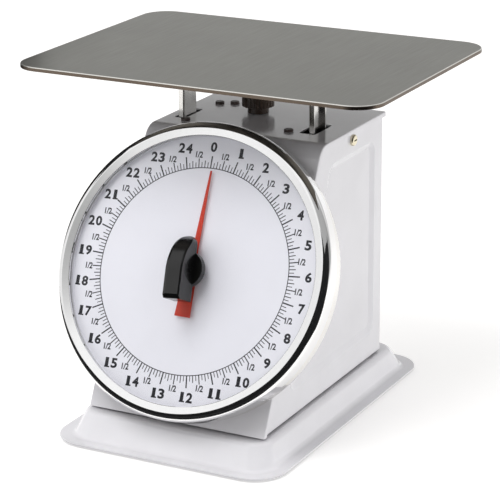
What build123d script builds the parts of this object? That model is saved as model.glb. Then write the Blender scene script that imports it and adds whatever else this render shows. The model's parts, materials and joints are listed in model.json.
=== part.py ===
from build123d import *
from math import asin, cos, pi, radians, sin, tan
import os

# Mechanical dial platform scale, 25 units per turn of the pointer.
# Millimetres. +Z is up, the dial faces -Y, and the origin is on the table
# under the middle of the base.

# ---- driving dimensions -------------------------------------------------
# Base
BASE_W = 182.0
BASE_D = 268.8
BASE_CORNER = 26.0
BASE_TOP = 20.0
FLANGE_Z = 1.5
FLANGE_T = 1.5
SHEET = 1.2

# Case: a wedge whose front leans back
LEAN = 25.7
CASE_HALF = 71.5
SIDE_HALF = 69.3
CASE_BOTTOM = 21.7
CASE_TOP = 211.6
CASE_FRONT = -105.2
CASE_REAR = 96.5
CASE_BEND = 15.0
LIP_DEPTH = 3.5
SIDE_SCREW_AT = (42.0, 202.6)
REAR_SCREW_GRID = (112.0, 160.0)
TOP_SCREWS_AT = [(-51.6, 62.6), (-41.3, 67.7), (31.5, 13.2), (-51.4, 8.6)]

# Dial, measured from the front plane of the bezel
DIAL_Y = -82.7
DIAL_Z = 129.9
BEZEL_R = 108.0
BEZEL_INNER_R = 97.4
DRUM_R = 106.5
DIAL_FACE = 7.1
DIAL_R = 100.0
POINTER_FACE = 5.0

# Weighing motion: one turn of the pointer for the full travel
PITCH_R = 2.7
TEETH = 12
TRAVEL = 2 * pi * PITCH_R / cos(radians(LEAN))

# Platform and its posts
PLATE_W = 285.0
PLATE_D = 212.0
PLATE_Y = 19.4
PLATE_TOP = 264.5
PLATE_CORNER = 21.0
POST_MID_X = -4.3
POST_Y = 24.0
POST_HALF = 51.6
POST_W = 20.0
POST_DEPTH = 4.4
POST_T = 1.5

# Zero adjuster
ZERO_X = -13.5
ZERO_Y = 52.4
ZERO_KNOB_R = 12.2
SCREW_R = 3.0
RUN = 0.08

# Inner works
FRAME_X = 65.5
FRAME_T = 2.0
FRAME_TOP = 196.0
BRIDGE_T = 3.0
SPRING_X = 26.0
COIL_R = 7.2
WIRE_R = 1.0
LINK_PIVOT_Y = 82.0
LINK_ROD_R = 3.0
LINK_LENGTH = 55.0
LINK_LEVELS = (70.0, 150.0)
DAMPER_X = -30.0
DAMPER_Y = -4.0
DAMPER_R = 13.0
ROD_R = 2.0
GUIDE_X = 34.0
GUIDE_R = 2.5
STUD_R = 3.0
RIVET_R = 1.5
PIN_R = 2.5
SPINDLE_R = 1.5
BUSH_R = 4.0
FRONT_BUSH = 42.0
REAR_BUSH = 64.0

# ---- derived places -----------------------------------------------------
lean = radians(LEAN)
COVER_FACE = CASE_REAR - SHEET
COVER_TOP = CASE_TOP - SHEET - 0.2
COVER_MID = (CASE_BOTTOM + COVER_TOP) / 2
DRUM_BACK = (DIAL_Z - CASE_BOTTOM) * sin(lean) + (CASE_FRONT - DIAL_Y) * cos(lean)
NORMAL = (0, -cos(lean), sin(lean))
DIAL_CENTRE = (0, DIAL_Y, DIAL_Z)
DIAL = Plane(origin=DIAL_CENTRE, x_dir=(1, 0, 0), z_dir=NORMAL)
DIAL_SECTION = Plane(origin=DIAL_CENTRE, x_dir=(1, 0, 0), z_dir=(0, -sin(lean), -cos(lean)))
DIAL_AXIS = Axis(DIAL_CENTRE, NORMAL)
LINK_RISE = asin(TRAVEL / 2 / LINK_LENGTH)
PIN_Y = LINK_PIVOT_Y - LINK_LENGTH * (1 + cos(LINK_RISE)) / 2
SUPPORT_TOP = PLATE_TOP - SHEET
SUPPORT_T = 2.0
SUPPORT_D = 40.0
POST_TOP = SUPPORT_TOP - SUPPORT_T
CARRIER_Z = 52.0
CARRIER_T = 3.0
RIVET_Z = CARRIER_Z + 10
TIE_Z = 128.0
TIE_H = 16.0
TIE_T = 3.0
TIE_Y = POST_Y - POST_W / 2
BAR_Z = 182.0
COIL_LOW = 67.2
COIL_HIGH = 170.8

os.makedirs("parts", exist_ok=True)


def save(piece, label):
    """Label a finished piece and write its STEP file."""
    piece.part.label = label
    export_step(piece.part, f"parts/{label}.step")


def behind(depth):
    """Plane parallel to the dial, a depth behind the front of the bezel."""
    return DIAL.offset(-depth)


def case_points(inset, bottom, rear):
    """Side outline of the case as (y, z), set in from the front and top."""
    def front_y(z):
        return CASE_FRONT + (z - CASE_BOTTOM) * tan(lean) + inset / cos(lean)
    top = CASE_TOP - inset
    return [(front_y(bottom), bottom), (front_y(top), top), (rear, top), (rear, bottom)]


def case_face(inset, bottom, rear, plane=Plane.YZ):
    """Side outline of the case as a face, with its front top corner rounded."""
    with BuildSketch(plane) as outline:
        with BuildLine():
            Polyline(case_points(inset, bottom, rear), close=True)
        make_face()
        bend = outline.vertices().group_by(Axis.Y)[-1].sort_by(Axis.X)[0]
        fillet(bend, CASE_BEND - inset)
    return outline.sketch


# ---- base ---------------------------------------------------------------
def rounded_face(z, width, depth, corner):
    """Level rounded rectangle about the Z axis."""
    with BuildSketch(Plane.XY.offset(z)) as outline:
        RectangleRounded(width, depth, corner)
    return outline.sketch


def make_base_pan():
    """Pressed steel pan: flat flange, concave foot, steep shoulder, flat top."""
    foot_w, foot_d, foot_r = BASE_W - 20, BASE_D - 20, BASE_CORNER - 8
    top_w, top_d, top_r = 150.0, 226.0, 15.0
    with BuildPart() as base_pan:
        with BuildSketch(Plane.XY.offset(FLANGE_Z)):
            RectangleRounded(BASE_W, BASE_D, BASE_CORNER)
        extrude(amount=FLANGE_T)
        loft([rounded_face(FLANGE_Z + FLANGE_T, foot_w, foot_d, foot_r),
              rounded_face(BASE_TOP, top_w, top_d, top_r)])
        crown = base_pan.faces().sort_by(Axis.Z)[-1].edges()
        fillet(crown, 5.0)
        flange_top = FLANGE_Z + FLANGE_T
        foot = base_pan.edges().filter_by_position(Axis.Z, flange_top - 0.01, flange_top + 0.01)
        fillet(foot.filter_by(lambda e: e.center().Z < 4 and abs(e.center().X) < BASE_W / 2 - 9
                              and abs(e.center().Y) < BASE_D / 2 - 9), 4.0)
        rim = base_pan.faces().sort_by(Axis.Z)[0].outer_wire().edges()
        fillet(rim, FLANGE_T * 0.45)
        loft([rounded_face(FLANGE_Z, foot_w - 5, foot_d - 5, foot_r - 2),
              rounded_face(BASE_TOP - SHEET, top_w - 5, top_d - 5, top_r - 2)], mode=Mode.SUBTRACT)
    save(base_pan, "base_pan")


def make_rubber_feet():
    """Four tapered rubber feet under the corners of the pan."""
    height = BASE_TOP - SHEET
    with BuildPart() as rubber_feet:
        with BuildSketch(Plane.XY.offset(height)):
            with GridLocations(116, 184, 2, 2):
                Circle(11)
        extrude(amount=-height, taper=5)
        soles = rubber_feet.faces().filter_by(Plane.XY).group_by(Axis.Z)[0].edges()
        fillet(soles, 1.0)
    save(rubber_feet, "rubber_feet")


# ---- case ---------------------------------------------------------------
def make_case_wrap():
    """One bent sheet: leaning front and flat top, with lips over the side panels."""
    top_plane = Plane.XY.offset(CASE_TOP + 1)
    with BuildPart() as case_wrap:
        extrude(case_face(0, CASE_BOTTOM, CASE_REAR), amount=CASE_HALF, both=True)
        extrude(case_face(LIP_DEPTH, CASE_BOTTOM - 5, CASE_REAR + 5), amount=CASE_HALF + 5, both=True,
                mode=Mode.SUBTRACT)
        extrude(case_face(SHEET, CASE_BOTTOM - 5, CASE_REAR + 5), amount=SIDE_HALF + 0.2, both=True,
                mode=Mode.SUBTRACT)
        with BuildSketch(top_plane):
            with Locations((-59.1, 27.5)):
                RectangleRounded(9.2, 30, 2.5)
            with Locations((46.45, 27.5)):
                RectangleRounded(13.1, 30, 2.5)
            with Locations((ZERO_X, ZERO_Y)):
                Circle(SCREW_R + 1.2)
        extrude(amount=-4, mode=Mode.SUBTRACT)
        with BuildSketch(behind(DRUM_BACK - 2)):
            Circle(11)
            with PolarLocations(44, 4, start_angle=45):
                Circle(1.8)
        extrude(amount=-6, mode=Mode.SUBTRACT)
        corners = case_wrap.edges().filter_by(Axis.Y).group_by(Axis.Z)[-1]
        fillet(corners.group_by(Axis.X)[0] + corners.group_by(Axis.X)[-1], 1.0)
    save(case_wrap, "case_wrap")


def field_points(inset):
    """Outline of the pressed-in field of a side panel as (y, z)."""
    low, high, rear, margin = 40 + inset, 193 - inset, 82 - inset, 26 + inset

    def front_y(z):
        return CASE_FRONT + (z - CASE_BOTTOM) * tan(lean) + margin / cos(lean)
    return [(front_y(low), low), (front_y(high), high), (rear, high), (rear, low)]


def field_face(side, depth, inset):
    """Rounded outline of the field on a plane inside the panel's outer face."""
    with BuildSketch(Plane.YZ.offset(side * (SIDE_HALF - depth))) as field:
        with BuildLine():
            Polyline(field_points(inset), close=True)
        make_face()
        fillet(field.vertices(), 10 - inset)
    return field.sketch


def make_side_panel(side, label):
    """Side sheet with a shallow pressed-in field and a hole for its screw."""
    inner = Plane.YZ.offset(side * (SIDE_HALF - SHEET))
    with BuildPart() as panel:
        extrude(case_face(SHEET + 0.2, CASE_BOTTOM, CASE_REAR - SHEET, inner), amount=side * SHEET)
        loft([field_face(side, 0, -0.8), field_face(side, 2 + SHEET, 4.2)])
        loft([field_face(side, 0, 0), field_face(side, 2, 5)], mode=Mode.SUBTRACT)
        with BuildSketch(inner):
            with Locations(SIDE_SCREW_AT):
                Circle(2.3)
        extrude(amount=side * SHEET, mode=Mode.SUBTRACT)
    save(panel, label)


def make_rear_cover():
    """Flat back of the case, inside the edges of the wrap and side panels."""
    width = 2 * (SIDE_HALF - SHEET - 0.1)
    with BuildPart() as rear_cover:
        with BuildSketch(Plane.XZ.offset(-CASE_REAR)):
            with Locations((0, COVER_MID)):
                RectangleRounded(width, COVER_TOP - CASE_BOTTOM, 2)
                with GridLocations(*REAR_SCREW_GRID, 2, 2):
                    Circle(1.8, mode=Mode.SUBTRACT)
        extrude(amount=SHEET)
    save(rear_cover, "rear_cover")


def make_rear_screws():
    """Four pan-head screws through the rear cover into the frame's flanges."""
    head = 1.6
    with BuildPart() as rear_screws:
        for plane, amount, radius in ((CASE_REAR, -head, 3.2), (CASE_REAR, 9, 1.6)):
            with BuildSketch(Plane.XZ.offset(-plane)):
                with Locations((0, COVER_MID)):
                    with GridLocations(*REAR_SCREW_GRID, 2, 2):
                        Circle(radius)
            extrude(amount=amount)
        heads = rear_screws.faces().filter_by(Axis.Y).group_by(Axis.Y)[-1].edges()
        fillet(heads, 1.0)
        with BuildSketch(Plane.XZ.offset(-CASE_REAR - head)):
            with Locations((0, COVER_MID)):
                with GridLocations(*REAR_SCREW_GRID, 2, 2):
                    Rectangle(4.6, 0.8)
        extrude(amount=head / 2, mode=Mode.SUBTRACT)
    save(rear_screws, "rear_screws")


def make_side_screws():
    """One domed bright screw high on each side."""
    head = 2.6
    with BuildPart() as side_screws:
        for side in (-1, 1):
            for amount, radius in ((head, 4.3), (-8, 2.0)):
                with BuildSketch(Plane.YZ.offset(side * SIDE_HALF)):
                    with Locations(SIDE_SCREW_AT):
                        Circle(radius)
                extrude(amount=side * amount)
        outer = side_screws.faces().filter_by(Axis.X).group_by(Axis.X)
        fillet(outer[0].edges() + outer[-1].edges(), 1.6)
        for side in (-1, 1):
            with BuildSketch(Plane.YZ.offset(side * (SIDE_HALF + head))):
                with Locations(SIDE_SCREW_AT):
                    Rectangle(5, 1)
            extrude(amount=-side, mode=Mode.SUBTRACT)
    save(side_screws, "side_screws")


def make_case_spacers():
    """Blocks that hold the side panels out from the inner frame."""
    with BuildPart() as case_spacers:
        for side in (-1, 1):
            with BuildSketch(Plane.YZ.offset(side * FRAME_X)):
                with Locations((-40, 28), (70, 28)):
                    RectangleRounded(14, 16, 2)
                with Locations(SIDE_SCREW_AT):
                    Circle(6)
                    Circle(2.05, mode=Mode.SUBTRACT)
            extrude(amount=side * (SIDE_HALF - SHEET - FRAME_X))
            with BuildSketch(Plane.XY.offset(FRAME_TOP)):
                with Locations((side * (FRAME_X - 1), SIDE_SCREW_AT[0])):
                    Rectangle(7, 10)
            extrude(amount=BRIDGE_T)
    save(case_spacers, "case_spacers")


def make_top_screws():
    """Dark slotted screws on the top of the case beside the slots."""
    head = 2.0
    with BuildPart() as top_screws:
        with BuildSketch(Plane.XY.offset(CASE_TOP)):
            with Locations(TOP_SCREWS_AT):
                Circle(3.5)
        extrude(amount=head)
        fillet(top_screws.faces().sort_by(Axis.Z).group_by(Axis.Z)[-1].edges(), 0.8)
        with BuildSketch(Plane.XY.offset(CASE_TOP + head)):
            with Locations(TOP_SCREWS_AT):
                Rectangle(5.0, 1.0)
        extrude(amount=-head / 2, mode=Mode.SUBTRACT)
    save(top_screws, "top_screws")


# ---- dial housing -------------------------------------------------------
def make_bezel_ring():
    """Chromed bezel: skirt, rounded outer edge and shallow inner slope, one turned section."""
    bend, skirt, slope, lip = 5.4, -14.0, -1.3, -3.0
    crest_r = BEZEL_R - bend
    inner_r = BEZEL_R - SHEET
    thin = bend - SHEET
    half = bend * sin(pi / 4)
    half_thin = thin * sin(pi / 4)
    with BuildPart() as bezel_ring:
        with BuildSketch(DIAL_SECTION):
            with BuildLine():
                Polyline((inner_r, -bend), (inner_r, skirt), (BEZEL_R, skirt), (BEZEL_R, -bend))
                ThreePointArc((BEZEL_R, -bend), (crest_r + half, half - bend), (crest_r, 0))
                Polyline((crest_r, 0), (BEZEL_INNER_R, slope), (BEZEL_INNER_R, lip),
                         (BEZEL_INNER_R + SHEET, lip), (BEZEL_INNER_R + SHEET, slope - 1), (crest_r, -SHEET))
                ThreePointArc((crest_r, -SHEET), (crest_r + half_thin, half_thin - bend), (inner_r, -bend))
            make_face()
        revolve(axis=DIAL_AXIS)
    save(bezel_ring, "bezel_ring")


def make_dial_drum():
    """Round cup behind the bezel that carries the dial on the case."""
    with BuildPart() as dial_drum:
        with BuildSketch(behind(DRUM_BACK)):
            Circle(DRUM_R)
        extrude(amount=DRUM_BACK - 6)
        fillet(dial_drum.faces().sort_by(DIAL_AXIS)[0].edges(), 3)
        with BuildSketch(behind(DRUM_BACK - 1)):
            Circle(DRUM_R - 1)
        extrude(amount=DRUM_BACK, mode=Mode.SUBTRACT)
        with BuildSketch(behind(DRUM_BACK)):
            Circle(7)
            with PolarLocations(44, 4, start_angle=45):
                Circle(1.8)
        extrude(amount=2, mode=Mode.SUBTRACT)
    save(dial_drum, "dial_drum")


def make_drum_screws():
    """Four screws that hold the drum against the leaning front."""
    inside = DRUM_BACK - 1
    with BuildPart() as drum_screws:
        with BuildSketch(behind(inside)):
            with PolarLocations(44, 4, start_angle=45):
                Circle(3.5)
        extrude(amount=2)
        with BuildSketch(behind(inside)):
            with PolarLocations(44, 4, start_angle=45):
                Circle(1.7)
        extrude(amount=-7)
    save(drum_screws, "drum_screws")


def make_dial_bearing():
    """Brass sleeve in the drum: the dial turns on its nose, the spindle runs through."""
    nose, body, bore = 6.0, 9.0, 2.6
    back = DRUM_BACK - 1
    with BuildPart() as dial_bearing:
        with BuildSketch(DIAL_SECTION):
            with BuildLine():
                Polyline((bore, -back), (body, -back), (body, -DIAL_FACE - 1.3), (nose, -DIAL_FACE - 1.3),
                         (nose, -DIAL_FACE + 0.1), (bore, -DIAL_FACE + 0.1), close=True)
            make_face()
        revolve(axis=DIAL_AXIS)
    save(dial_bearing, "dial_bearing")


# ---- turning dial -------------------------------------------------------
def make_dial_plate():
    """Thin printed disc, turning on the bearing's nose."""
    with BuildPart() as dial_plate:
        with BuildSketch(behind(DIAL_FACE)):
            Circle(DIAL_R)
            Circle(6.0 + RUN, mode=Mode.SUBTRACT)
        extrude(amount=-1)
    save(dial_plate, "dial_plate")


def make_dial_rim():
    """Spacer ring that joins the dial's edge to the lens."""
    with BuildPart() as dial_rim:
        with BuildSketch(behind(DIAL_FACE)):
            Circle(DIAL_R)
            Circle(DIAL_R - 2.2, mode=Mode.SUBTRACT)
        extrude(amount=DIAL_FACE - 5.4)
    save(dial_rim, "dial_rim")


def make_lens():
    """Clear, slightly domed window with a hole for the knob's stud."""
    rim, rise, thick, bore = 5.4, 3.8, 0.9, 2.55
    mid = 0.25
    with BuildPart() as lens:
        with BuildSketch(DIAL_SECTION):
            with BuildLine():
                Line((bore, -rim + rise), (bore, -rim + rise + thick))
                ThreePointArc((bore, -rim + rise + thick), (DIAL_R / 2, -rim + rise * (1 - mid) + thick),
                              (DIAL_R, -rim + thick))
                Line((DIAL_R, -rim + thick), (DIAL_R, -rim))
                ThreePointArc((DIAL_R, -rim), (DIAL_R / 2, -rim + rise * (1 - mid)), (bore, -rim + rise))
            make_face()
        revolve(axis=DIAL_AXIS)
    save(lens, "lens")


def make_tare_knob():
    """Lever knob: round foot and a thick fin, rounded on top, square below, set slightly askew."""
    crest, half, reach, under, seat = 23.3, 6.5, 23.5, 3.0, 0.7
    turn = radians(5)
    across = (cos(turn), sin(turn) * sin(lean), sin(turn) * cos(lean))
    along = (-sin(turn), cos(turn) * sin(lean), cos(turn) * cos(lean))
    side = Plane(origin=DIAL_CENTRE, x_dir=along, z_dir=across)
    plan = Plane(origin=DIAL_CENTRE, x_dir=across, z_dir=NORMAL)
    with BuildPart() as tare_knob:
        with BuildSketch(side):
            with BuildLine():
                Polyline((reach, under), (-reach, under), (-reach, crest - 3), (3 - reach, crest),
                         (-2, crest))
                ThreePointArc((-2, crest), (13, 17.6), (reach, under))
            make_face()
        extrude(amount=half, both=True)
        crown = tare_knob.faces().sort_by(DIAL_AXIS)[-1].edges()
        chamfer(crown.filter_by(Axis(DIAL_CENTRE, along)), 1.0)
        with BuildSketch(plan):
            with Locations((0, -half / 2)):
                Rectangle(2 * half, 2 * reach - half)
            with Locations((0, reach - half)):
                Circle(half)
        extrude(amount=crest + 1, mode=Mode.INTERSECT)
        with BuildSketch(behind(seat)):
            Circle(13)
        extrude(amount=4.5 + seat)
        foot = tare_knob.edges().filter_by(GeomType.CIRCLE).group_by(SortBy.RADIUS)[-1]
        chamfer(foot.sort_by(DIAL_AXIS)[-1], 1.2)
    save(tare_knob, "tare_knob")


def make_knob_stud():
    """Shouldered brass stud that clamps the knob to the lens."""
    with BuildPart() as knob_stud:
        with BuildSketch(DIAL_SECTION):
            with BuildLine():
                Polyline((0, -2.7), (4.5, -2.7), (4.5, -1.61), (2.5, -1.61), (2.5, -0.7), (0, -0.7),
                         close=True)
            make_face()
        revolve(axis=DIAL_AXIS)
    save(knob_stud, "knob_stud")


# ---- pointer train ------------------------------------------------------
def make_pointer():
    """Flat pointer: long tapering hand and a short broad tail."""
    with BuildPart() as pointer:
        with BuildSketch(behind(POINTER_FACE)):
            with BuildLine():
                Polyline((-0.6, 72.6), (0.6, 72.6), (2.5, 6), (4.8, 0), (6.2, -33.5), (-6.2, -33.5),
                         (-4.8, 0), (-2.5, 6), close=True)
            make_face()
            Circle(2.0, mode=Mode.SUBTRACT)
        extrude(amount=0.6)
    save(pointer, "pointer")


def make_pointer_hub():
    """Dark hub that clamps the pointer on the spindle."""
    with BuildPart() as pointer_hub:
        with BuildSketch(DIAL_SECTION):
            with BuildLine():
                Polyline((1.5, -6.6), (5, -6.6), (5, -5.0), (2.0, -5.0), (2.0, -4.4), (9, -4.4), (9, -3.8),
                         (8, -3.1), (1.5, -3.1), close=True)
            make_face()
        revolve(axis=DIAL_AXIS)
    save(pointer_hub, "pointer_hub")


def make_spindle():
    """Steel arbor from the pinion through the drum to the pointer."""
    with BuildPart() as spindle:
        with BuildSketch(behind(REAR_BUSH + 3)):
            Circle(SPINDLE_R)
        extrude(amount=REAR_BUSH - 0.3)
        chamfer(spindle.edges().filter_by(GeomType.CIRCLE), 0.3)
    save(spindle, "spindle")


def make_pinion():
    """Long brass pinion, so the rack can slide along it as it drops."""
    root, tip = PITCH_R - 0.55, PITCH_R + 0.38
    with BuildPart() as pinion:
        with BuildSketch(behind(60)):
            Circle(root)
            with PolarLocations(0, TEETH):
                Polygon((root - 0.3, 0.46), (tip, 0.14), (tip, -0.14), (root - 0.3, -0.46), align=None)
            Circle(SPINDLE_R, mode=Mode.SUBTRACT)
        extrude(amount=16)
    save(pinion, "pinion")


def make_rack():
    """Straight rack beside the pinion, in the plane of the dial."""
    pitch = 2 * pi * PITCH_R / TEETH
    back_x = PITCH_R + 0.6
    with BuildPart() as rack:
        with BuildSketch(behind(50)):
            with Locations((back_x + 2, 15)):
                Rectangle(4, 38)
            with Locations(*[(back_x, (k + 0.5) * pitch) for k in range(-3, 15)]):
                Polygon((0.2, 0.44), (-0.95, 0.14), (-0.95, -0.14), (0.2, -0.44), align=None)
        extrude(amount=4)
    save(rack, "rack")


def make_rack_bracket():
    """Arm that carries the rack forward from the tie plate."""
    arm_x = PITCH_R + 4.6
    with BuildPart() as rack_bracket:
        with BuildSketch(Plane.YZ.offset(arm_x)):
            with BuildLine():
                Polyline((-34, 130), (-20, 130), (TIE_Y - 3, 129), (TIE_Y - 3, 142), (-20, 142), (-31, 139),
                         close=True)
            make_face()
        extrude(amount=3)
        with BuildSketch(Plane.XZ.offset(-TIE_Y + 3)):
            with Locations((arm_x + 8, TIE_Z + TIE_H / 2 - 0.5)):
                Rectangle(16, 13)
        extrude(amount=3)
    save(rack_bracket, "rack_bracket")


# ---- inner frame --------------------------------------------------------
def make_frame_plate(side, label):
    """Upright steel plate with foot and rear flanges, its front edge parallel to the case front."""
    flange = 16.0
    flange_x = side * (FRAME_X - flange / 2)
    with BuildPart() as frame_plate:
        with BuildSketch(Plane.YZ.offset(side * (FRAME_X - FRAME_T))) as outline:
            with BuildLine():
                Polyline((-80, BASE_TOP), (COVER_FACE, BASE_TOP), (COVER_FACE, FRAME_TOP), (-6, FRAME_TOP),
                         (-80, 42), close=True)
            make_face()
            fillet(outline.vertices().group_by(Axis.Y)[-1], 6)
            with Locations((-12, 60), (48, 50), (50, 112)):
                Circle(12, mode=Mode.SUBTRACT)
        extrude(amount=side * FRAME_T)
        with BuildSketch(Plane.XY.offset(BASE_TOP)):
            with Locations((flange_x, 6)):
                Rectangle(flange, 172)
        extrude(amount=FRAME_T)
        with BuildSketch(Plane.XZ.offset(-COVER_FACE)):
            with Locations((flange_x, COVER_MID)):
                Rectangle(flange, REAR_SCREW_GRID[1] + 8)
            with Locations((0, COVER_MID)):
                with GridLocations(*REAR_SCREW_GRID, 2, 2):
                    Circle(1.6 + RUN, mode=Mode.SUBTRACT)
        extrude(amount=FRAME_T)
    save(frame_plate, label)


def make_frame_bridge():
    """Cross plate on top of the uprights, holding the zero screw."""
    with BuildPart() as frame_bridge:
        with BuildSketch(Plane.XY.offset(FRAME_TOP)):
            with Locations((0, 58)):
                Rectangle(2 * FRAME_X, 22)
            with Locations((ZERO_X, ZERO_Y)):
                Circle(SCREW_R + RUN, mode=Mode.SUBTRACT)
        extrude(amount=BRIDGE_T)
    save(frame_bridge, "frame_bridge")


def make_front_bar():
    """Leaning cross bar between the uprights, under the spindle bridge."""
    with BuildPart() as front_bar:
        with BuildSketch(behind(64)):
            with Locations((0, -26.5)):
                Rectangle(2 * (FRAME_X - FRAME_T), 3)
        extrude(amount=24)
    save(front_bar, "front_bar")


def make_spindle_bridge():
    """Bent bracket whose two cheeks hold the spindle's bushes."""
    with BuildPart() as spindle_bridge:
        for depth in (FRONT_BUSH, REAR_BUSH):
            with BuildSketch(behind(depth)):
                with Locations((-8, 0)):
                    RectangleRounded(32, 16, 2)
                Circle(BUSH_R + 0.05, mode=Mode.SUBTRACT)
            extrude(amount=2)
        with BuildSketch(behind(REAR_BUSH)):
            with Locations((-23, -8.5)):
                Rectangle(2, 33)
        extrude(amount=REAR_BUSH + 2 - FRONT_BUSH)
    save(spindle_bridge, "spindle_bridge")


def make_spindle_bushes():
    """Two flanged brass bushes for the spindle."""
    with BuildPart() as spindle_bushes:
        for depth in (FRONT_BUSH, REAR_BUSH):
            for start, length, radius in ((depth, 2, BUSH_R), (depth - 2, 1, BUSH_R + 1.2)):
                with BuildSketch(behind(start)):
                    Circle(radius)
                    Circle(SPINDLE_R + RUN, mode=Mode.SUBTRACT)
                extrude(amount=length)
    save(spindle_bushes, "spindle_bushes")


def make_link_rods():
    """Two fixed rods at the back, on which the check links swing."""
    with BuildPart() as link_rods:
        with BuildSketch(Plane.YZ.offset(-FRAME_X + FRAME_T)):
            with Locations(*[(LINK_PIVOT_Y, z) for z in LINK_LEVELS]):
                Circle(LINK_ROD_R)
        extrude(amount=2 * (FRAME_X - FRAME_T))
    save(link_rods, "link_rods")


def make_bar_guides():
    """Two pins hanging from the bridge that keep the spring bar square."""
    with BuildPart() as bar_guides:
        with BuildSketch(Plane.XY.offset(FRAME_TOP)):
            with Locations((POST_MID_X - GUIDE_X, ZERO_Y), (POST_MID_X + GUIDE_X, ZERO_Y)):
                Circle(GUIDE_R)
        extrude(amount=-24)
    save(bar_guides, "bar_guides")


def damper_disc(z, radius, hole=0.0):
    """Level disc on the dashpot's axis, with a hole if one is given."""
    with BuildSketch(Plane.XY.offset(z)) as disc:
        with Locations((DAMPER_X, DAMPER_Y)):
            Circle(radius)
            if hole:
                Circle(hole, mode=Mode.SUBTRACT)
    return disc.sketch


def make_damper_cylinder():
    """Closed dashpot cup standing on the base."""
    with BuildPart() as damper_cylinder:
        extrude(damper_disc(BASE_TOP, DAMPER_R), amount=60)
        extrude(damper_disc(BASE_TOP + 2, DAMPER_R - 1.5), amount=58, mode=Mode.SUBTRACT)
    save(damper_cylinder, "damper_cylinder")


def make_damper_cap():
    """Cap that guides the piston rod."""
    with BuildPart() as damper_cap:
        extrude(damper_disc(BASE_TOP + 60, DAMPER_R, ROD_R + RUN), amount=3)
    save(damper_cap, "damper_cap")


# ---- zero adjuster ------------------------------------------------------
def make_zero_knob():
    """Fluted knob over a plain neck, on top of the case."""
    low = CASE_TOP + 0.4
    neck, crown = 5.0, 8.2
    with BuildPart() as zero_knob:
        for start, height, radius in ((low, neck, 8.0), (low + neck, crown, ZERO_KNOB_R)):
            with BuildSketch(Plane.XY.offset(start)):
                with Locations((ZERO_X, ZERO_Y)):
                    Circle(radius)
            extrude(amount=height)
        fillet(zero_knob.faces().sort_by(Axis.Z)[-1].edges(), 1.2)
        with BuildSketch(Plane.XY.offset(low + neck)):
            with Locations((ZERO_X, ZERO_Y)):
                with PolarLocations(ZERO_KNOB_R + 0.4, 24):
                    Circle(0.9)
        extrude(amount=crown, mode=Mode.SUBTRACT)
    save(zero_knob, "zero_knob")


def make_zero_screw():
    """Screw under the knob, held by two collars in the bridge."""
    low, high = BAR_Z - 8, CASE_TOP + 0.4
    gap = 0.3
    with BuildPart() as zero_screw:
        for start, end, radius in ((low, high, SCREW_R), (FRAME_TOP - gap - 2, FRAME_TOP - gap, 5),
                                   (FRAME_TOP + BRIDGE_T + gap, FRAME_TOP + BRIDGE_T + gap + 2, 5)):
            with BuildSketch(Plane.XY.offset(start)):
                with Locations((ZERO_X, ZERO_Y)):
                    Circle(radius)
            extrude(amount=end - start)
    save(zero_screw, "zero_screw")


def make_spring_bar():
    """Plate raised or lowered by the zero screw; both springs hang from it."""
    with BuildPart() as spring_bar:
        with BuildSketch(Plane.XY.offset(BAR_Z)):
            with Locations((POST_MID_X, 38)):
                RectangleRounded(84, 44, 4)
            with Locations((ZERO_X, ZERO_Y)):
                Circle(SCREW_R + RUN, mode=Mode.SUBTRACT)
            with Locations((POST_MID_X - GUIDE_X, ZERO_Y), (POST_MID_X + GUIDE_X, ZERO_Y)):
                Circle(GUIDE_R + RUN, mode=Mode.SUBTRACT)
        extrude(amount=4)
    save(spring_bar, "spring_bar")


def make_spring_anchors(label, plug, collar, stud, seat):
    """Plugs in the ends of the coils, with a collar, and a stud on a round seat."""
    turned = ((plug, COIL_R - WIRE_R - 0.3), (collar, COIL_R + WIRE_R), (stud, STUD_R), (seat, STUD_R + 2))
    with BuildPart() as anchors:
        for (low, high), radius in turned:
            with BuildSketch(Plane.XY.offset(low)):
                with Locations((POST_MID_X - SPRING_X, POST_Y), (POST_MID_X + SPRING_X, POST_Y)):
                    Circle(radius)
            extrude(amount=high - low)
    save(anchors, label)


def make_upper_anchors():
    """Spring ends under the adjustable bar."""
    top = COIL_HIGH + 0.2
    stud, seat = (top + 2, BAR_Z), (BAR_Z - 2, BAR_Z)
    make_spring_anchors("upper_anchors", (top - 10, top), (top, top + 2), stud, seat)


def make_lower_anchors():
    """Spring ends on the load carrier."""
    low, deck = COIL_LOW - 0.2, CARRIER_Z + CARRIER_T
    make_spring_anchors("lower_anchors", (low, low + 10), (low - 2, low), (deck, low - 2), (deck, deck + 2))


def make_main_spring(side, label):
    """Close-wound tension spring as a tube, its coils' full thickness."""
    with BuildPart() as spring:
        with BuildSketch(Plane.XY.offset(COIL_LOW)):
            with Locations((POST_MID_X + side * SPRING_X, POST_Y)):
                Circle(COIL_R + WIRE_R)
                Circle(COIL_R - WIRE_R, mode=Mode.SUBTRACT)
        extrude(amount=COIL_HIGH - COIL_LOW)
    save(spring, label)


# ---- load carrier -------------------------------------------------------
def make_post(side, label):
    """Shallow channel post, open outwards, from the carrier to the platform."""
    web = POST_MID_X + side * (POST_HALF + POST_T / 2)
    middle = POST_MID_X + side * (POST_HALF + POST_DEPTH / 2)
    with BuildPart() as post:
        with BuildSketch(Plane.XY.offset(CARRIER_Z)):
            with Locations((web, POST_Y)):
                Rectangle(POST_T, POST_W)
            with Locations((middle, POST_Y)):
                with GridLocations(1, POST_W - POST_T, 1, 2):
                    Rectangle(POST_DEPTH, POST_T)
        extrude(amount=POST_TOP - CARRIER_Z)
        inner = post.edges().filter_by(Axis.Z).group_by(Axis.X)[0 if side > 0 else -1]
        fillet(inner, 1.2)
        with BuildSketch(Plane.YZ.offset(POST_MID_X + side * POST_HALF)):
            with Locations((POST_Y, RIVET_Z)):
                Circle(RIVET_R + 0.05)
        extrude(amount=side * POST_T, mode=Mode.SUBTRACT)
    save(post, label)


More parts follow.
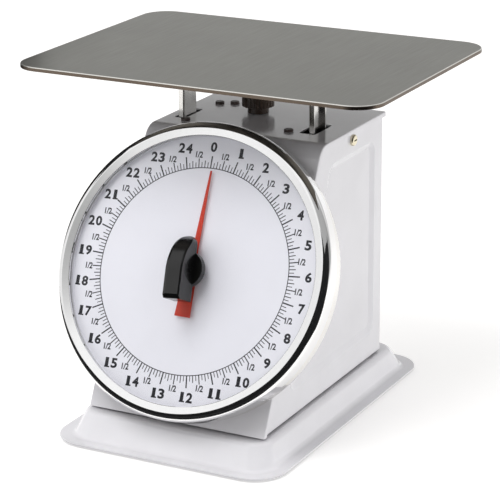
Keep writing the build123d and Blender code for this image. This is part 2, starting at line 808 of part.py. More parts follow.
def make_carrier_plate():
    """Bottom of the load carrier: a plate with two ears inside the posts."""
    width = POST_W - 3
    ear_t, ear_h = 2.0, 16.0
    with BuildPart() as carrier_plate:
        with BuildSketch(Plane.XY.offset(CARRIER_Z)):
            with Locations((POST_MID_X, POST_Y)):
                Rectangle(2 * POST_HALF, width)
        extrude(amount=CARRIER_T)
        with BuildSketch(Plane.XY.offset(CARRIER_Z)):
            with Locations((POST_MID_X, POST_Y)):
                with GridLocations(2 * POST_HALF - ear_t, 1, 2, 1):
                    Rectangle(ear_t, width)
        extrude(amount=ear_h)
        with BuildSketch(Plane.YZ.offset(POST_MID_X)):
            with Locations((POST_Y, RIVET_Z)):
                Circle(RIVET_R + 0.05)
        extrude(amount=POST_HALF, both=True, mode=Mode.SUBTRACT)
    save(carrier_plate, "carrier_plate")


def make_carrier_rivets():
    """Rivets through the ears of the carrier and the webs of the posts."""
    inner, outer, head = POST_HALF - 2, POST_HALF + POST_T, 1.2
    turned = ((inner - head, inner, 2.8), (inner, outer, RIVET_R), (outer, outer + head, 2.8))
    with BuildPart() as carrier_rivets:
        for side in (-1, 1):
            for start, end, radius in turned:
                with BuildSketch(Plane.YZ.offset(POST_MID_X + side * start)):
                    with Locations((POST_Y, RIVET_Z)):
                        Circle(radius)
                extrude(amount=side * (end - start))
    save(carrier_rivets, "carrier_rivets")


def make_tie_plate():
    """Cross plate on the front of both posts, with a shelf for the damper rod."""
    shelf_front = DAMPER_Y - 6
    shelf_back = TIE_Y - TIE_T
    with BuildPart() as tie_plate:
        with BuildSketch(Plane.XZ.offset(-TIE_Y)):
            with Locations((POST_MID_X, TIE_Z + TIE_H / 2)):
                Rectangle(2 * (POST_HALF + POST_DEPTH), TIE_H)
        extrude(amount=TIE_T)
        with BuildSketch(Plane.XY.offset(TIE_Z)):
            with Locations((DAMPER_X, (shelf_front + shelf_back) / 2)):
                Rectangle(14, shelf_back - shelf_front)
        extrude(amount=TIE_T)
    save(tie_plate, "tie_plate")


def make_damper_rod():
    """Piston rod and piston of the dashpot."""
    low = BASE_TOP + 40
    with BuildPart() as damper_rod:
        extrude(damper_disc(low, DAMPER_R - 1.9), amount=4)
        extrude(damper_disc(low, ROD_R), amount=TIE_Z - low)
    save(damper_rod, "damper_rod")


def make_link_pins():
    """Short pins on the posts that ride in the slots of the check links."""
    with BuildPart() as link_pins:
        for side in (-1, 1):
            with BuildSketch(Plane.YZ.offset(POST_MID_X + side * POST_HALF)):
                with Locations(*[(PIN_Y, z + TRAVEL / 2) for z in LINK_LEVELS]):
                    Circle(PIN_R)
            extrude(amount=-side * 14)
    save(link_pins, "link_pins")


def make_check_link(level, label):
    """Swinging frame: a tube on the rear rod and two slotted arms."""
    half, arm_t, inset = 46.0, 3.0, 5.0
    reach = (0, -cos(LINK_RISE), sin(LINK_RISE))
    tube = Plane(origin=(POST_MID_X - half, LINK_PIVOT_Y, level), x_dir=reach, z_dir=(1, 0, 0))
    with BuildPart() as check_link:
        with BuildSketch(tube):
            Circle(LINK_ROD_R + 3)
        extrude(amount=2 * half)
        for start in (inset, 2 * half - inset - arm_t):
            with BuildSketch(tube.offset(start)):
                with Locations((LINK_LENGTH / 2, 0)):
                    SlotCenterToCenter(LINK_LENGTH, 11)
                with Locations((LINK_LENGTH, 0)):
                    SlotCenterToCenter(3, 2 * PIN_R + 0.7, mode=Mode.SUBTRACT)
            extrude(amount=arm_t)
        with BuildSketch(tube):
            Circle(LINK_ROD_R + RUN)
        extrude(amount=2 * half, mode=Mode.SUBTRACT)
    save(check_link, label)


# ---- platform -----------------------------------------------------------
def make_platform_support():
    """Flat support across both posts, which the platform rests on."""
    with BuildPart() as platform_support:
        with BuildSketch(Plane.XY.offset(POST_TOP)):
            with Locations((POST_MID_X, POST_Y)):
                RectangleRounded(126, SUPPORT_D, 5)
        extrude(amount=SUPPORT_T)
    save(platform_support, "platform_support")


def make_platform_plate():
    """Stainless plate with a short turned-down edge."""
    lip = 3.0
    with BuildPart() as platform_plate:
        with BuildSketch(Plane.XY.offset(PLATE_TOP - lip)):
            with Locations((0, PLATE_Y)):
                RectangleRounded(PLATE_W, PLATE_D, PLATE_CORNER)
        extrude(amount=lip)
        fillet(platform_plate.faces().sort_by(Axis.Z)[-1].edges(), 1.0)
        with BuildSketch(Plane.XY.offset(PLATE_TOP - lip)):
            with Locations((0, PLATE_Y)):
                RectangleRounded(PLATE_W - 2 * SHEET, PLATE_D - 2 * SHEET, PLATE_CORNER - SHEET)
        extrude(amount=lip - SHEET, mode=Mode.SUBTRACT)
    save(platform_plate, "platform_plate")


def make_platform_rails():
    """Two rails under the plate that straddle the support and locate it."""
    with BuildPart() as platform_rails:
        with BuildSketch(Plane.XY.offset(SUPPORT_TOP)):
            with Locations((POST_MID_X, POST_Y)):
                with GridLocations(1, SUPPORT_D + 4, 1, 2):
                    Rectangle(100, 2)
        extrude(amount=-9)
    save(platform_rails, "platform_rails")


def main():
    make_base_pan()
    make_rubber_feet()
    make_case_wrap()
    make_side_panel(-1, "left_side_panel")
    make_side_panel(1, "right_side_panel")
    make_rear_cover()
    make_rear_screws()
    make_side_screws()
    make_case_spacers()
    make_top_screws()
    make_bezel_ring()
    make_dial_drum()
    make_drum_screws()
    make_dial_bearing()
    make_dial_plate()
    make_dial_rim()
    make_lens()
    make_tare_knob()
    make_knob_stud()
    make_pointer()
    make_pointer_hub()
    make_spindle()
    make_pinion()
    make_rack()
    make_rack_bracket()
    make_frame_plate(-1, "left_frame_plate")
    make_frame_plate(1, "right_frame_plate")
    make_frame_bridge()
    make_front_bar()
    make_spindle_bridge()
    make_spindle_bushes()
    make_link_rods()
    make_bar_guides()
    make_damper_cylinder()
    make_damper_cap()
    make_zero_knob()
    make_zero_screw()
    make_spring_bar()
    make_upper_anchors()
    make_lower_anchors()
    make_main_spring(-1, "left_spring")
    make_main_spring(1, "right_spring")
    make_post(-1, "left_post")
    make_post(1, "right_post")
    make_carrier_plate()
    make_carrier_rivets()
    make_tie_plate()
    make_damper_rod()
    make_link_pins()
    make_check_link(LINK_LEVELS[0], "lower_check_link")
    make_check_link(LINK_LEVELS[1], "upper_check_link")
    make_platform_support()
    make_platform_plate()
    make_platform_rails()


main()
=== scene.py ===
"""Looks of the mechanical dial platform scale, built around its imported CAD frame."""
import json
import math
import bpy
import bmesh
from mathutils import Matrix, Vector


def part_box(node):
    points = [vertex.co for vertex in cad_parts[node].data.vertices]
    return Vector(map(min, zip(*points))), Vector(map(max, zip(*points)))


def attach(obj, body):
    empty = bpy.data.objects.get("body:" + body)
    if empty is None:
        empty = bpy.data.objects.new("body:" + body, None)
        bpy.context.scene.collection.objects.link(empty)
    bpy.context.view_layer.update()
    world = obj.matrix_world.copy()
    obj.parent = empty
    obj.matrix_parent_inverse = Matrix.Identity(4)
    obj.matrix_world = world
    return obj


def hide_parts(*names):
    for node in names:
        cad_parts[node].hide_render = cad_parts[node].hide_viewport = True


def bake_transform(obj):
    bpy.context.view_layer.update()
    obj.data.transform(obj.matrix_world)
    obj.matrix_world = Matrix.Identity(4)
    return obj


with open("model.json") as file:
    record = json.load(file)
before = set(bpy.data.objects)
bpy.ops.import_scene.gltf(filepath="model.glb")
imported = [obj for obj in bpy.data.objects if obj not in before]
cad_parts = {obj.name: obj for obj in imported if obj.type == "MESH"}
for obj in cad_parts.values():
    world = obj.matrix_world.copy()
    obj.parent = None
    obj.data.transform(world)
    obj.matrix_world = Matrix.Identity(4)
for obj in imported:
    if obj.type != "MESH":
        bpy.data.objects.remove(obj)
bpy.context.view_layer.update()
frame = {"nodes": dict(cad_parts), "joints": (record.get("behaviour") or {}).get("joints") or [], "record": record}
nodes = frame["nodes"]
joints = {joint["name"]: joint for joint in frame["joints"]}
MM = 0.001
WHITE = (1, 1, 1, 1)
NOISE_LOW, NOISE_HIGH = 0.3, 0.7
SHARP_EDGE = math.radians(28)


# ---- places taken from the frame ----------------------------------------
def dial_matrix():
    """Dial frame: origin at the bezel's front plane, X right, Y up the dial, Z out of it."""
    joint = joints["dial_turn"]
    out = Vector(joint["axis"]).normalized()
    right = Vector((1, 0, 0))
    matrix = Matrix((right, out.cross(right), out)).transposed().to_4x4()
    matrix.translation = Vector(joint["pos_m"])
    return matrix


def front_of(node, matrix):
    """Furthest reach of a node out along the dial's axis, in metres."""
    inverse = matrix.inverted()
    return max((inverse @ vertex.co).z for vertex in nodes[node].data.vertices)


DIAL = dial_matrix()
DIAL_FACE = front_of("dial_plate", DIAL)


# ---- mesh helpers -------------------------------------------------------
def finished_mesh(built, name):
    """Turns a mesh under construction into mesh data."""
    mesh = bpy.data.meshes.new(name)
    built.to_mesh(mesh)
    built.free()
    return mesh


def add_object(name, data):
    """New object in the scene."""
    piece = bpy.data.objects.new(name, data)
    bpy.context.scene.collection.objects.link(piece)
    return piece


def add_turned(built, section, count):
    """Closed skin turned about Z from a closed section of (radius, height)."""
    angles = [2 * math.pi * k / count for k in range(count)]
    rings = [[built.verts.new((radius * math.cos(angle), radius * math.sin(angle), height)) for angle in angles]
             for radius, height in section]
    for row, upper in enumerate(rings):
        lower = rings[(row + 1) % len(rings)]
        for k in range(count):
            after = (k + 1) % count
            built.faces.new((upper[k], lower[k], lower[after], upper[after]))


def add_slab(built, corners, thickness):
    """Flat four-sided slab on the plane z = 0."""
    low = [built.verts.new((x, y, 0)) for x, y in corners]
    high = [built.verts.new((x, y, thickness)) for x, y in corners]
    built.faces.new(high)
    built.faces.new(low[::-1])
    for k in range(4):
        built.faces.new((low[k], low[(k + 1) % 4], high[(k + 1) % 4], high[k]))


# ---- node helpers -------------------------------------------------------
def new_material(name):
    """New node material, with its node tree and its Principled shader."""
    material = bpy.data.materials.new(name)
    material.use_nodes = True
    tree = material.node_tree
    return material, tree, tree.nodes["Principled BSDF"]


def coordinates(tree, scale):
    """Object coordinates, in metres, times a scale for each axis."""
    source = tree.nodes.new("ShaderNodeTexCoord")
    mapping = tree.nodes.new("ShaderNodeMapping")
    mapping.inputs["Scale"].default_value = scale
    tree.links.new(source.outputs["Object"], mapping.inputs["Vector"])
    return mapping.outputs["Vector"]


def noise(tree, scale, detail=3.0, stretch=(1, 1, 1)):
    """Noise value over the object, stretched along the axes with small numbers."""
    texture = tree.nodes.new("ShaderNodeTexNoise")
    texture.inputs["Scale"].default_value = scale
    texture.inputs["Detail"].default_value = detail
    tree.links.new(coordinates(tree, stretch), texture.inputs["Vector"])
    return texture.outputs["Fac"]


def ramp(tree, value, stops):
    """Colour ramp over a value; stops are (position, colour)."""
    node = tree.nodes.new("ShaderNodeValToRGB")
    elements = node.color_ramp.elements
    while len(elements) < len(stops):
        elements.new(0.5)
    for element, (position, colour) in zip(elements, stops):
        element.position = position
        element.color = (*colour, 1)
    tree.links.new(value, node.inputs["Fac"])
    return node.outputs["Color"]


def mottled(tree, value, dark, light):
    """Colour between two, chosen by a noise value."""
    return ramp(tree, value, [(NOISE_LOW, dark), (NOISE_HIGH, light)])


def spread(tree, value, low, high):
    """Maps a noise value to a range."""
    node = tree.nodes.new("ShaderNodeMapRange")
    node.inputs["From Min"].default_value = NOISE_LOW
    node.inputs["From Max"].default_value = NOISE_HIGH
    node.inputs["To Min"].default_value = low
    node.inputs["To Max"].default_value = high
    tree.links.new(value, node.inputs["Value"])
    return node.outputs["Result"]


def bump(tree, shader, height, strength, distance):
    """Joins a height to the shader's normal."""
    node = tree.nodes.new("ShaderNodeBump")
    node.inputs["Strength"].default_value = strength
    node.inputs["Distance"].default_value = distance
    tree.links.new(height, node.inputs["Height"])
    tree.links.new(node.outputs["Normal"], shader.inputs["Normal"])


def shade(colour, factor):
    """A colour times a factor, kept at one or less."""
    return tuple(min(1.0, channel * factor) for channel in colour)


# ---- materials ----------------------------------------------------------
def paint(name, colour, roughness=0.22, coat=0.5, peel=0.25, variation=0.03):
    """Sprayed paint: faint mottling, orange peel and an uneven gloss."""
    material, tree, shader = new_material(name)
    dark, light = shade(colour, 1 - variation), shade(colour, 1 + variation)
    tree.links.new(mottled(tree, noise(tree, 28, 4), dark, light), shader.inputs["Base Color"])
    gloss = spread(tree, noise(tree, 60, 5), roughness * 0.8, roughness * 1.3)
    tree.links.new(gloss, shader.inputs["Roughness"])
    shader.inputs["Coat Weight"].default_value = coat
    shader.inputs["Coat Roughness"].default_value = 0.08
    bump(tree, shader, noise(tree, 900, 2), peel, 0.00004)
    return material


def metal(name, colour, roughness, stretch, scale=900, variation=0.08, strength=0.15):
    """Bare metal with fine lines along the axes that stretch makes small."""
    material, tree, shader = new_material(name)
    lines = noise(tree, scale, 6, stretch)
    cloud = noise(tree, 14, 3)
    mix = tree.nodes.new("ShaderNodeMix")
    mix.data_type = "FLOAT"
    mix.inputs["Factor"].default_value = 0.35
    tree.links.new(lines, mix.inputs[2])
    tree.links.new(cloud, mix.inputs[3])
    dark, light = shade(colour, 1 - variation), shade(colour, 1 + variation)
    tree.links.new(mottled(tree, mix.outputs[0], dark, light), shader.inputs["Base Color"])
    tree.links.new(spread(tree, lines, roughness * 0.8, roughness * 1.25), shader.inputs["Roughness"])
    shader.inputs["Metallic"].default_value = 1.0
    bump(tree, shader, lines, strength, 0.00002)
    return material


# Painted light and shade on the rolled plate by how it faces, from down (0) to up (1): painted shade below and on
# the upright edge, a painted highlight on the bend, the top painted darker.
PAINTED_LIGHT_BY_FACING = [
    (0.0, (0.13, 0.12, 0.11)),
    (0.45, (0.16, 0.13, 0.11)),
    (0.62, (0.2, 0.16, 0.13)),
    (0.74, (1, 1, 1)),
    (0.93, (1, 1, 1)),
    (0.985, (0.3, 0.3, 0.285)),
]


def rolled_plate(name, colour, roughness, stretch):
    """Brushed plate whose edges are rolled down, with light painted in by facing: a painted highlight on the bend,
    painted shade on the upright edge and underside, the top painted darker.
    """
    material = metal(name, colour, roughness, stretch, 1500, 0.14, 0.3)
    tree = material.node_tree
    shader = tree.nodes["Principled BSDF"]
    brushed = shader.inputs["Base Color"].links[0].from_socket
    geometry = tree.nodes.new("ShaderNodeNewGeometry")
    split = tree.nodes.new("ShaderNodeSeparateXYZ")
    tree.links.new(geometry.outputs["Normal"], split.inputs["Vector"])
    height = tree.nodes.new("ShaderNodeMapRange")
    height.inputs["From Min"].default_value = -1.0
    tree.links.new(split.outputs["Z"], height.inputs["Value"])
    # painted light by facing: highlight on the bend, shade on the upright edge and underside, darker top
    painted_light = ramp(tree, height.outputs["Result"], PAINTED_LIGHT_BY_FACING)
    mix = tree.nodes.new("ShaderNodeMix")
    mix.data_type = "RGBA"
    mix.blend_type = "MULTIPLY"
    mix.inputs["Factor"].default_value = 1.0
    tree.links.new(brushed, mix.inputs[6])
    tree.links.new(painted_light, mix.inputs[7])
    tree.links.new(mix.outputs[2], shader.inputs["Base Color"])
    return material


def plastic(name, colour, roughness, grain=0.1):
    """Moulded plastic with a fine grain and slightly uneven gloss."""
    material, tree, shader = new_material(name)
    dark, light = shade(colour, 0.85), shade(colour, 1.15)
    tree.links.new(mottled(tree, noise(tree, 45, 4), dark, light), shader.inputs["Base Color"])
    gloss = spread(tree, noise(tree, 130, 4), roughness * 0.75, roughness * 1.3)
    tree.links.new(gloss, shader.inputs["Roughness"])
    bump(tree, shader, noise(tree, 1600, 2), grain, 0.00003)
    return material


def clear_lens(name):
    """Clear window: see-through, with a mirror share that grows at grazing angles."""
    material, tree, shader = new_material(name)
    tree.nodes.remove(shader)
    gloss = tree.nodes.new("ShaderNodeBsdfGlossy")
    gloss.inputs["Color"].default_value = WHITE
    tree.links.new(spread(tree, noise(tree, 40, 3), 0.015, 0.04), gloss.inputs["Roughness"])
    clear = tree.nodes.new("ShaderNodeBsdfTransparent")
    fresnel = tree.nodes.new("ShaderNodeFresnel")
    fresnel.inputs["IOR"].default_value = 1.12
    mix = tree.nodes.new("ShaderNodeMixShader")
    tree.links.new(fresnel.outputs["Fac"], mix.inputs["Fac"])
    tree.links.new(clear.outputs["BSDF"], mix.inputs[1])
    tree.links.new(gloss.outputs["BSDF"], mix.inputs[2])
    tree.links.new(mix.outputs["Shader"], tree.nodes["Material Output"].inputs["Surface"])
    return material


def make_materials():
    """One material for each slot of the record."""
    along_y = (1, 0.02, 1)
    along_z = (1, 1, 0.02)
    even = (1, 1, 1)
    return {
        "white_enamel": paint("white_enamel", (0.8, 0.79, 0.82), 0.2, 0.5),
        "chrome_trim": metal("chrome_trim", (0.86, 0.86, 0.86), 0.05, even, 400, 0.02, 0.02),
        "drum_metal": metal("drum_metal", (0.82, 0.81, 0.79), 0.1, even, 500, 0.04, 0.04),
        # stainless plate with a painted highlight on its bend and painted shade on its edge and underside
        "stainless": rolled_plate("stainless", (0.86, 0.85, 0.81), 0.36, along_y),
        "post_steel": metal("post_steel", (0.7, 0.69, 0.67), 0.17, along_z, 1200, 0.08, 0.1),
        "frame_steel": metal("frame_steel", (0.42, 0.42, 0.43), 0.4, along_z, 700, 0.12, 0.2),
        "zinc_screws": metal("zinc_screws", (0.72, 0.66, 0.5), 0.2, even, 900, 0.08, 0.1),
        "dark_screws": paint("dark_screws", (0.07, 0.05, 0.045), 0.4, 0.1, 0.3, 0.3),
        "brass_parts": metal("brass_parts", (0.72, 0.5, 0.2), 0.25, even, 900, 0.1, 0.15),
        "feet_rubber": plastic("feet_rubber", (0.03, 0.03, 0.03), 0.7, 0.4),
        "dial_print": paint("dial_print", (0.86, 0.86, 0.92), 0.45, 0.0, 0.05, 0.015),
        "rim_white": plastic("rim_white", (0.8, 0.8, 0.82), 0.4),
        "lens_clear": clear_lens("lens_clear"),
        "knob_black": plastic("knob_black", (0.006, 0.006, 0.006), 0.2, 0.05),
        "pointer_red": paint("pointer_red", (0.56, 0.035, 0.012), 0.55, 0.0, 0.1, 0.1),
        "hub_dark": plastic("hub_dark", (0.045, 0.03, 0.022), 0.25, 0.2),
        "spring_steel": metal("spring_steel", (0.34, 0.34, 0.35), 0.3, even, 900, 0.1, 0.1),
        "damper_alloy": metal("damper_alloy", (0.6, 0.6, 0.61), 0.3, along_z, 900, 0.06, 0.1),
    }


MATERIALS = make_materials()


def dress(obj, slot):
    """Gives a piece the one material of its slot."""
    obj.data.materials.clear()
    obj.data.materials.append(MATERIALS[slot])


def dress_frame():
    """Materials and smooth shading for every CAD node."""
    for entry in frame["record"]["subparts"]:
        node = nodes[entry["node"]]
        dress(node, entry["material_slot"])
        node.data.shade_smooth()
        node.data.set_sharp_from_angle(angle=SHARP_EDGE)


# ---- printed dial -------------------------------------------------------
INK_T = 0.05 * MM
BAR_T = 1.1 * INK_T
POUNDS = 25
PARTS = 8  # ticks to a pound
ZERO_TURN = math.radians(1.8)
TICK_R = 75 * MM
TICK_SIZES = {8: (8.6, 0.95), 4: (6.6, 0.75), 2: (5.0, 0.62), 1: (3.8, 0.52)}  # length and width in mm, by step
CIRCLE_INNER, CIRCLE_OUTER, CIRCLE_SIDES = TICK_R - 0.5 * MM, TICK_R + 0.1 * MM, 200
NUMERAL_R = 90.2 * MM
FIGURE_H, FIGURE_W, ONE_W, FIGURE_PITCH = 7.2 * MM, 5.0 * MM, 2.7 * MM, 6.0 * MM
FOOT_H, FOOT_W, FOOT_SHIFT = 1.05 * MM, 4.2 * MM, 0.35 * MM
FIGURE_WEIGHT = 0.036
HALF_R = 84.5 * MM
HALF_H, HALF_W, HALF_WEIGHT = 4.6 * MM, 5.6 * MM, 0.03
TEXT_DEPTH = 0.01


def ink(name, colour):
    """Printing ink, slightly uneven."""
    return paint(name, colour, 0.5, 0.0, 0.05, 0.12)


INK_BLACK = ink("ink_black", (0.018, 0.018, 0.024))


def finish_print(name, mesh):
    """Lays a flat piece of print on the dial, turned a little so that zero meets the pointer in the view."""
    mesh.transform(DIAL @ Matrix.Translation((0, 0, DIAL_FACE)) @ Matrix.Rotation(ZERO_TURN, 4, "Z"))
    mesh.materials.append(INK_BLACK)
    piece = add_object(name, mesh)
    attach(piece, "turning_dial")


def add_tick(built, angle, length, width):
    """One tick, growing outward from the base circle, clockwise from the top."""
    turn = Matrix.Rotation(-angle, 4, "Z")
    half, top = width / 2, TICK_R + length
    corners = [(-half, TICK_R), (half, TICK_R), (half, top), (-half, top)]
    add_slab(built, [(turn @ Vector((x, y, 0))).xy for x, y in corners], INK_T)


def make_ticks():
    """Ticks every eighth, longer on the quarters, halves and whole numbers."""
    built = bmesh.new()
    for k in range(POUNDS * PARTS):
        step = next(size for size in TICK_SIZES if k % size == 0)
        length, width = TICK_SIZES[step]
        add_tick(built, 2 * math.pi * k / (POUNDS * PARTS), length * MM, width * MM)
    finish_print("dial_ticks", finished_mesh(built, "dial_ticks"))


def make_circle():
    """Thin base circle that the ticks stand on."""
    section = [(CIRCLE_INNER, 0), (CIRCLE_INNER, INK_T), (CIRCLE_OUTER, INK_T), (CIRCLE_OUTER, 0)]
    built = bmesh.new()
    add_turned(built, section, CIRCLE_SIDES)
    bmesh.ops.recalc_face_normals(built, faces=built.faces)
    finish_print("dial_circle", finished_mesh(built, "dial_circle"))


def text_mesh(words, height, width, weight):
    """Flat mesh of a short text, centred, scaled to a height and a width in metres."""
    curve = bpy.data.curves.new("words", "FONT")
    curve.body = words
    curve.size = 1.0
    curve.offset = weight
    curve.resolution_u = 4
    curve.extrude = TEXT_DEPTH
    holder = bpy.data.objects.new("words", curve)
    mesh = bpy.data.meshes.new_from_object(holder)
    xs = [vertex.co.x for vertex in mesh.vertices]
    ys = [vertex.co.y for vertex in mesh.vertices]
    centre = Vector(((max(xs) + min(xs)) / 2, (max(ys) + min(ys)) / 2, -TEXT_DEPTH))
    fit = (width / (max(xs) - min(xs)), height / (max(ys) - min(ys)), INK_T / (2 * TEXT_DEPTH), 1)
    mesh.transform(Matrix.Diagonal(fit) @ Matrix.Translation(-centre))
    bpy.data.objects.remove(holder)
    bpy.data.curves.remove(curve)
    return mesh


def add_bar(built, x, y, width, height):
    """Flat printed bar about a point."""
    left, right = x - width / 2, x + width / 2
    bottom, top = y - height / 2, y + height / 2
    add_slab(built, [(left, bottom), (right, bottom), (right, top), (left, top)], BAR_T)


def place_on_dial(pounds, radius):
    """Point on the dial for a reading, counted clockwise from the top."""
    angle = 2 * math.pi * pounds / POUNDS
    return radius * math.sin(angle), radius * math.cos(angle)


def make_numerals():
    """Whole numbers in wide bold figures; each figure 1 stands on a foot."""
    figures = {digit: text_mesh(digit, FIGURE_H, ONE_W if digit == "1" else FIGURE_W, FIGURE_WEIGHT)
               for digit in "0123456789"}
    built = bmesh.new()
    for number in range(POUNDS):
        x, y = place_on_dial(number, NUMERAL_R)
        digits = str(number)
        for k, digit in enumerate(digits):
            middle = x + (k - (len(digits) - 1) / 2) * FIGURE_PITCH
            mesh = figures[digit].copy()
            mesh.transform(Matrix.Translation((middle, y, 0)))
            built.from_mesh(mesh)
            bpy.data.meshes.remove(mesh)
            if digit == "1":
                add_bar(built, middle + FOOT_SHIFT, y - (FIGURE_H - FOOT_H) / 2, FOOT_W, FOOT_H)
    for mesh in figures.values():
        bpy.data.meshes.remove(mesh)
    finish_print("dial_numerals", finished_mesh(built, "dial_numerals"))


def make_halves():
    """Small fractions half way between the whole numbers."""
    built = bmesh.new()
    for number in range(POUNDS):
        mesh = text_mesh("1/2", HALF_H, HALF_W, HALF_WEIGHT)
        mesh.transform(Matrix.Translation((*place_on_dial(number + 0.5, HALF_R), 0)))
        built.from_mesh(mesh)
        bpy.data.meshes.remove(mesh)
    finish_print("dial_halves", finished_mesh(built, "dial_halves"))


def make_dial_print():
    """Everything printed on the dial."""
    make_ticks()
    make_circle()
    make_numerals()
    make_halves()


# ---- bezel --------------------------------------------------------------
BEZEL_INNER, BEZEL_BEND, BEZEL_SHEET = 97.4 * MM, 5.4 * MM, 1.2 * MM
SKIRT_Z, LIP_Z = -14 * MM, -3 * MM
BEND_STEPS, BEZEL_SIDES = 20, 360
BEZEL_SHARP = math.radians(10)


def bend_arc(centre, radius):
    """Quarter turn of the bezel's outer bend, from its side to its crest, about a point BEZEL_BEND down."""
    angles = [math.pi / 2 * k / BEND_STEPS for k in range(BEND_STEPS + 1)]
    return [(centre + radius * math.cos(angle), radius * math.sin(angle) - BEZEL_BEND) for angle in angles]


def bezel_section():
    """Closed section of the bezel as (radius, height) in the dial's frame."""
    inverse = DIAL.inverted()
    outer = max((inverse @ vertex.co).xy.length for vertex in nodes["bezel_ring"].data.vertices)
    centre = outer - BEZEL_BEND
    lip = [(BEZEL_INNER + 0.25 * MM, -1.24 * MM), (BEZEL_INNER, -1.45 * MM), (BEZEL_INNER, LIP_Z),
           (BEZEL_INNER + BEZEL_SHEET, LIP_Z), (BEZEL_INNER + BEZEL_SHEET, -2.3 * MM)]
    return [(outer, SKIRT_Z), *bend_arc(centre, BEZEL_BEND), *lip,
            *bend_arc(centre, BEZEL_BEND - BEZEL_SHEET)[::-1], (outer - BEZEL_SHEET, SKIRT_Z)]


def make_bezel():
    """Finely turned bezel in place of the CAD one, so that its reflections run true."""
    built = bmesh.new()
    add_turned(built, bezel_section(), BEZEL_SIDES)
    bmesh.ops.recalc_face_normals(built, faces=built.faces)
    mesh = finished_mesh(built, "bezel_turned")
    mesh.shade_smooth()
    mesh.set_sharp_from_angle(angle=BEZEL_SHARP)
    mesh.transform(DIAL)
    bezel = add_object("bezel_turned", mesh)
    dress(bezel, "chrome_trim")
    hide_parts("bezel_ring")
    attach(bezel, "case")


# ---- load springs -------------------------------------------------------
WIRE = 1.0 * MM  # radius of the wire
WIRE_SIDES = 8
TURN_STEPS = 20
PITCH = 2.15 * WIRE
HEAD_TURNS = 10


def coil_piece(name, middle, radius, heights):
    """Length of close-wound coil through (step, height of the wire's middle), TURN_STEPS to a turn."""
    built = bmesh.new()
    rings = []
    for k, height in heights:
        angle = 2 * math.pi * k / TURN_STEPS
        radial = Vector((math.cos(angle), math.sin(angle), 0))
        centre = Vector((middle.x, middle.y, height)) + radial * radius
        around = [2 * math.pi * j / WIRE_SIDES for j in range(WIRE_SIDES)]
        rings.append([built.verts.new(centre + radial * WIRE * math.cos(turn)
                                      + Vector((0, 0, WIRE * math.sin(turn)))) for turn in around])
    for upper, lower in zip(rings, rings[1:]):
        for j in range(WIRE_SIDES):
            after = (j + 1) % WIRE_SIDES
            built.faces.new((upper[j], upper[after], lower[after], lower[j]))
    built.faces.new(rings[0][::-1])
    built.faces.new(rings[-1])
    bmesh.ops.recalc_face_normals(built, faces=built.faces)
    mesh = finished_mesh(built, name)
    mesh.shade_smooth()
    coil = add_object(name, mesh)
    dress(coil, "spring_steel")
    return coil


def make_spring(node):
    """Close-wound coil in the space of a CAD spring, made in two lengths: a head and the rest."""
    low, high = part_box(node)
    middle = (low + high) / 2
    radius = (high.x - low.x) / 2 - WIRE
    reach = high.z - low.z - 2 * WIRE
    count = int(reach / PITCH) * TURN_STEPS
    heights = [(k, high.z - WIRE - reach * k / count) for k in range(count + 1)]
    split = HEAD_TURNS * TURN_STEPS
    for name, part, above, below in (("_head", heights[:split + 1], "spring_hanger", "case"),
                                     ("_coil", heights[split:], "case", "load_carrier")):
        coil = coil_piece(node + name, middle, radius, part)
        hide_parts(node)
        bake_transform(coil)


# ---- studio -------------------------------------------------------------
FLOOR_REACH = 30
FLOOR_GLOW = 0.33
UP = (0.0, 0.0, 1.0)
SCALE_MIDDLE = Vector((0, 0, 0.12))
CAMERA_AZIMUTH, CAMERA_ELEVATION, CAMERA_ROLL = (math.radians(angle) for angle in (27.58, 18.21, -0.35))
CAMERA_DISTANCE = 1.54985
CAMERA_TARGET = Vector((0.0415, -0.0677, 0.1461))
CAMERA_LENS, CAMERA_SENSOR = 158.7, 36


def make_floor():
    """Plain pale floor, faintly lit so that it stays white; it throws less light back than it shows."""
    material, tree, shader = new_material("floor")
    pale = mottled(tree, noise(tree, 3, 2), (0.91, 0.895, 0.88), (0.93, 0.92, 0.91))
    tree.links.new(pale, shader.inputs["Base Color"])
    shader.inputs["Roughness"].default_value = 0.9
    shader.inputs["Emission Color"].default_value = WHITE
    shader.inputs["Emission Strength"].default_value = FLOOR_GLOW
    built = bmesh.new()
    bmesh.ops.create_grid(built, x_segments=1, y_segments=1, size=FLOOR_REACH)
    mesh = finished_mesh(built, "floor")
    mesh.materials.append(material)
    floor = add_object("floor", mesh)
    floor.visible_diffuse = False


def sky_factor(tree, direction, near, far, full, faint):
    """Brightness that goes from full to faint as the view swings towards a direction, between two cosines."""
    source = tree.nodes.new("ShaderNodeTexCoord")
    lobe = tree.nodes.new("ShaderNodeVectorMath")
    lobe.operation = "DOT_PRODUCT"
    lobe.inputs[1].default_value = Vector(direction).normalized()
    tree.links.new(source.outputs["Generated"], lobe.inputs[0])
    value = tree.nodes.new("ShaderNodeMapRange")
    value.interpolation_type = "SMOOTHSTEP"
    value.inputs["From Min"].default_value = near
    value.inputs["From Max"].default_value = far
    value.inputs["To Min"].default_value = full
    value.inputs["To Max"].default_value = faint
    tree.links.new(lobe.outputs["Value"], value.inputs["Value"])
    return value.outputs["Result"]


def multiply(tree, first, second):
    """Product of two values."""
    node = tree.nodes.new("ShaderNodeMath")
    node.operation = "MULTIPLY"
    tree.links.new(first, node.inputs[0])
    tree.links.new(second, node.inputs[1])
    return node.outputs["Value"]


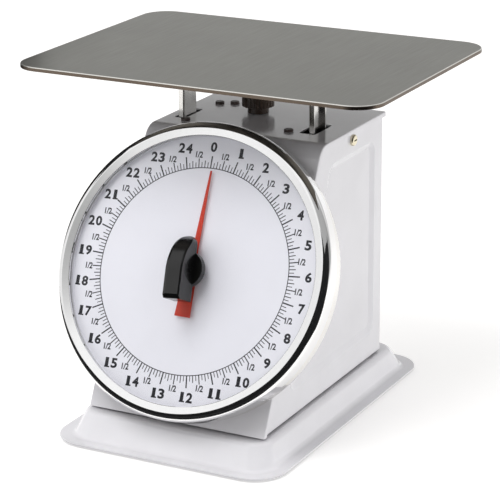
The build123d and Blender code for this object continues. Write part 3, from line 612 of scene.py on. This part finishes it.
def make_world():
    """White light tent: brighter overhead, dimmer at the back, the front right and below, with a white horizon."""
    world = bpy.data.worlds.new("studio")
    bpy.context.scene.world = world
    world.use_nodes = True
    tree = world.node_tree
    background = tree.nodes["Background"]
    opening = sky_factor(tree, (0.86, -0.5, 0.1), near=0.28, far=0.5, full=1.0, faint=0.42)
    back = sky_factor(tree, (-0.35, 0.94, 0.0), near=-0.3, far=0.8, full=0.95, faint=0.62)
    zenith = sky_factor(tree, UP, near=0.0, far=1.0, full=0.95, faint=1.15)
    horizon = tree.nodes.new("ShaderNodeMix")
    horizon.data_type = "FLOAT"
    low = sky_factor(tree, UP, near=0.06, far=0.18, full=1.0, faint=0.0)
    tree.links.new(low, horizon.inputs["Factor"])
    tree.links.new(multiply(tree, multiply(tree, opening, back), zenith), horizon.inputs[2])
    horizon.inputs[3].default_value = 1.05
    below = sky_factor(tree, UP, near=-0.12, far=-0.02, full=0.4, faint=1.0)
    tree.links.new(multiply(tree, horizon.outputs[0], below), background.inputs["Strength"])
    background.inputs["Color"].default_value = WHITE


def wall(plan, low, high):
    """Upright faces over a line drawn in plan."""
    return [[(*start, low), (*end, low), (*end, high), (*start, high)] for start, end in zip(plan, plan[1:])]


def make_card(name, faces):
    """Black studio card that only reflections see; it gives the chrome its dark band."""
    material, tree, shader = new_material(name)
    cloth = mottled(tree, noise(tree, 40, 2), (0.008, 0.008, 0.009), (0.014, 0.014, 0.015))
    tree.links.new(cloth, shader.inputs["Base Color"])
    shader.inputs["Roughness"].default_value = 1.0
    built = bmesh.new()
    for corners in faces:
        built.faces.new([built.verts.new(corner) for corner in corners])
    mesh = finished_mesh(built, name)
    mesh.materials.append(material)
    card = add_object(name, mesh)
    card.visible_camera = False
    card.visible_diffuse = False
    card.visible_shadow = False
    card.visible_transmission = False


def make_light(name, place, size, energy):
    """Soft white light aimed at the middle of the scale and unseen by reflections."""
    data = bpy.data.lights.new(name, "AREA")
    data.shape = "RECTANGLE"
    data.size, data.size_y = size
    data.energy = energy
    light = add_object(name, data)
    light.location = place
    light.rotation_euler = (SCALE_MIDDLE - Vector(place)).to_track_quat("-Z", "Y").to_euler()
    light.visible_glossy = False


def make_camera():
    """Camera at the view from the front right, a little above."""
    level = math.cos(CAMERA_ELEVATION)
    back = Vector((math.sin(CAMERA_AZIMUTH) * level, -math.cos(CAMERA_AZIMUTH) * level, math.sin(CAMERA_ELEVATION)))
    data = bpy.data.cameras.new("camera")
    data.lens = CAMERA_LENS
    data.sensor_width = CAMERA_SENSOR
    data.clip_end = 100
    camera = add_object("camera", data)
    camera.location = CAMERA_TARGET + back * CAMERA_DISTANCE
    turn = (-back).to_track_quat("-Z", "Y").to_matrix().to_4x4()
    camera.rotation_euler = (turn @ Matrix.Rotation(CAMERA_ROLL, 4, "Z")).to_euler()
    bpy.context.scene.camera = camera


# ---- the whole scene ----------------------------------------------------
bpy.context.scene.view_settings.view_transform = "Standard"
dress_frame()
make_dial_print()
make_bezel()
for spring_node in ("left_spring", "right_spring"):
    make_spring(spring_node)
make_floor()
make_world()
make_light("key", (-1.3, -1.1, 1.5), (1.2, 1.2), 2.5)
make_light("top", (-0.3, -0.95, 1.9), (1.0, 1.0), 15)
make_light("fill", (1.9, 0.0, 0.22), (1.0, 0.4), 11.5)
make_card("front_card", wall([(-1.0, -0.27), (0.3, -0.27)], 0.0, 0.12))
make_card("floor_card", [[(x, y, 0.002) for x, y in ((-1.0, -0.45), (0.3, -0.45), (0.3, -0.15), (-1.0, -0.15))]])
make_card("right_card", wall([(0.055, -0.3), (0.2, -0.3), (0.36, -0.1), (0.36, -0.04)], 0.0, 0.36))
make_card("left_card", wall([(-0.25, -0.1), (-0.25, 0.22)], 0.15, 0.285))
make_card("upper_left_card", wall([(-0.25, -0.2), (-0.25, 0.12)], 0.285, 0.35))
make_camera()
